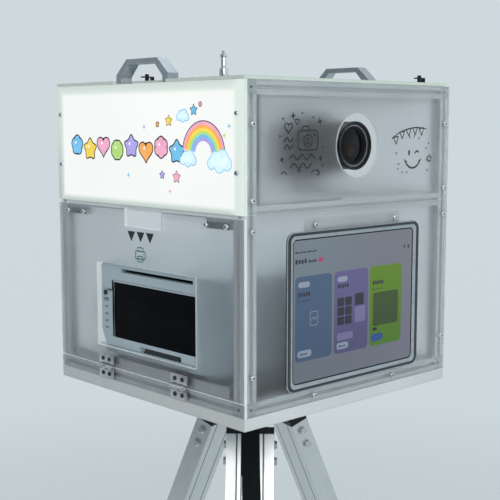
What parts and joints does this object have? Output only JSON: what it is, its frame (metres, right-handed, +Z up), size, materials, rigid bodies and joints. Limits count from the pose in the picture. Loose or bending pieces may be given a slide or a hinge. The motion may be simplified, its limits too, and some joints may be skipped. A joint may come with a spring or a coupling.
{
  "type": "photo booth",
  "caption": "Boxy frosted photo booth with lit sign, camera window, touch tablet, drop-down print door and printer, standing on a folding tripod.",
  "frame": {"origin": "on the floor, at the centre of the overall footprint of the three feet", "axes": "+Z up; -Y is the front with the lens and the tablet; -X is the side with the lit sign and the print door"},
  "size_m": [0.8046, 0.8046, 1.5771],
  "materials": {
    "white_board": "white sheet board with a smooth edge",
    "bare_aluminium": "plain sheet aluminium",
    "frame_aluminium": "silver anodised slotted bar",
    "clear_acrylic": "clear acrylic sheet with pale green edges",
    "frosted_acrylic": "translucent frosted acrylic with polished edges",
    "lit_sign": null,
    "white_plastic": "white light tray",
    "stainless": "stainless steel",
    "dark_surround": "dark grey surround",
    "black_plastic": "black moulded plastic",
    "black_rubber": "black rubber",
    "lens_glass": "coated lens glass",
    "printer_shell": "blue-grey moulded casing",
    "dark_window": "dark smoked window",
    "printer_button": "small moulded key",
    "anodised_handle": "grey anodised aluminium",
    "chrome": "bright plated metal",
    "black_casting": "black painted casting",
    "webbing": "black woven webbing",
    "leg_aluminium": "light satin aluminium"
  },
  "bodies": {
    "booth": {"base_plate": "white_board", "mounting_plate": "bare_aluminium", "frame_posts": "frame_aluminium", "frame_rails": "frame_aluminium", "frame_hardware": "frame_aluminium", "top_panel": "clear_acrylic", "front_upper_panel": "frosted_acrylic", "front_lower_panel": "frosted_acrylic", "side_and_rear_panels": "frosted_acrylic", "sign_panel": "lit_sign", "sign_light_box": "white_plastic", "panel_screws": "stainless", "frame_hinge_leaves": "stainless", "hinge_pins": "stainless", "sill_strip": "frosted_acrylic", "tablet_surround": "dark_surround", "tablet": "black_plastic", "inner_brackets": "bare_aluminium", "camera_body": "black_plastic", "lens_barrel": "black_plastic", "lens_glass": "lens_glass", "printer_housing": "printer_shell", "printer_shelf": "bare_aluminium", "power_inlet": "black_plastic", "carry_handles": "anodised_handle", "light_spigot": "chrome", "top_clips": "black_plastic", "tripod_head": "black_casting"},
    "print_door": {"printer_door": "frosted_acrylic", "door_hinge_leaves": "stainless", "strike_plates": "stainless"},
    "printer_tray": {"printer_drawer": "printer_shell", "printer_drawer_window": "dark_window"},
    "printer_key": {"printer_power_button": "printer_button"},
    "tablet_key": {"tablet_power_button": "stainless"},
    "zoom_ring": {"lens_zoom_ring": "black_rubber"},
    "focus_ring": {"lens_focus_ring": "black_rubber"},
    "shutter": {"shutter_button": "stainless"},
    "dial": {"mode_dial": "black_plastic"},
    "rocker": {"rocker_switch": "black_plastic"},
    "clamp_screw": {"head_screw": "black_casting"},
    "leg_1": {"leg_1_castings": "black_casting", "leg_1_rails": "leg_aluminium", "leg_1_bolts": "stainless", "leg_strap": "webbing"},
    "lower_leg_1": {"leg_1_slider": "leg_aluminium", "leg_1_foot": "black_rubber"},
    "clamp_knob_1": {"leg_1_knob": "black_plastic"},
    "leg_2": {"leg_2_castings": "black_casting", "leg_2_rails": "leg_aluminium", "leg_2_bolts": "stainless"},
    "lower_leg_2": {"leg_2_slider": "leg_aluminium", "leg_2_foot": "black_rubber"},
    "clamp_knob_2": {"leg_2_knob": "black_plastic"},
    "leg_3": {"leg_3_castings": "black_casting", "leg_3_rails": "leg_aluminium", "leg_3_bolts": "stainless"},
    "lower_leg_3": {"leg_3_slider": "leg_aluminium", "leg_3_foot": "black_rubber"},
    "clamp_knob_3": {"leg_3_knob": "black_plastic"}
  },
  "joints": [
    {"name": "print_door_hinge", "type": "hinge", "parent": "booth", "child": "print_door", "pos_m": [-0.28816, -0.05976, 1.07927], "axis": [0, -1, 0], "range_deg": [0, 175]},
    {"name": "printer_tray_slide", "type": "slide", "parent": "booth", "child": "printer_tray", "axis": [-1, 0, 0], "range_m": [0, 0.15]},
    {"name": "printer_key_press", "type": "slide", "parent": "printer_tray", "child": "printer_key", "axis": [1, 0, 0], "range_m": [0, 0.001], "stiffness_N_per_m": 600},
    {"name": "tablet_key_press", "type": "slide", "parent": "booth", "child": "tablet_key", "axis": [0, 0, -1], "range_m": [0, 0.0006], "stiffness_N_per_m": 800},
    {"name": "zoom_ring_turn", "type": "hinge", "parent": "booth", "child": "zoom_ring", "pos_m": [-0.05176, -0.22876, 1.42957], "axis": [0, 1, 0], "range_deg": [0, 75]},
    {"name": "focus_ring_turn", "type": "hinge", "parent": "booth", "child": "focus_ring", "pos_m": [-0.05176, -0.25276, 1.42957], "axis": [0, 1, 0], "range_deg": [0, 150]},
    {"name": "shutter_press", "type": "slide", "parent": "booth", "child": "shutter", "axis": [0, 0, -1], "range_m": [0, 0.001], "stiffness_N_per_m": 500},
    {"name": "mode_dial_turn", "type": "hinge", "parent": "booth", "child": "dial", "pos_m": [-0.01176, -0.16976, 1.46157], "axis": [0, 0, 1], "range_deg": [0, 330]},
    {"name": "rocker_turn", "type": "hinge", "parent": "booth", "child": "rocker", "pos_m": [-0.14676, 0.15624, 1.14507], "axis": [1, 0, 0], "range_deg": [0, 16]},
    {"name": "clamp_screw_turn", "type": "hinge", "parent": "booth", "child": "clamp_screw", "pos_m": [-0.05976, -0.05976, 1.00107], "axis": [0, 0, 1], "range_deg": [0, 360]},
    {"name": "leg_1_fold", "type": "hinge", "parent": "booth", "child": "leg_1", "pos_m": [-0.10219, -0.10219, 0.98607], "axis": [0.7071, -0.7071, 0], "range_deg": [0, 22.5]},
    {"name": "leg_1_extend", "type": "slide", "parent": "leg_1", "child": "lower_leg_1", "axis": [-0.2706, -0.2706, -0.9239], "range_m": [0, 0.35]},
    {"name": "leg_1_clamp_turn", "type": "hinge", "parent": "leg_1", "child": "clamp_knob_1", "pos_m": [-0.32083, -0.32083, 0.23958], "axis": [-0.6533, -0.6533, 0.3827], "range_deg": [0, 270]},
    {"name": "leg_2_fold", "type": "hinge", "parent": "booth", "child": "leg_2", "pos_m": [-0.00181, -0.07529, 0.98607], "axis": [0.2588, 0.9659, 0], "range_deg": [0, 22.5]},
    {"name": "leg_2_extend", "type": "slide", "parent": "leg_2", "child": "lower_leg_2", "axis": [0.3696, -0.099, -0.9239], "range_m": [0, 0.35]},
    {"name": "leg_2_clamp_turn", "type": "hinge", "parent": "leg_2", "child": "clamp_knob_2", "pos_m": [0.29686, -0.15532, 0.23958], "axis": [0.8924, -0.2391, 0.3827], "range_deg": [0, 270]},
    {"name": "leg_3_fold", "type": "hinge", "parent": "booth", "child": "leg_3", "pos_m": [-0.07529, -0.00181, 0.98607], "axis": [-0.9659, -0.2588, 0], "range_deg": [0, 22.5]},
    {"name": "leg_3_extend", "type": "slide", "parent": "leg_3", "child": "lower_leg_3", "axis": [-0.099, 0.3696, -0.9239], "range_m": [0, 0.35]},
    {"name": "leg_3_clamp_turn", "type": "hinge", "parent": "leg_3", "child": "clamp_knob_3", "pos_m": [-0.15532, 0.29686, 0.23958], "axis": [-0.2391, 0.8924, 0.3827], "range_deg": [0, 270]}
  ]
}
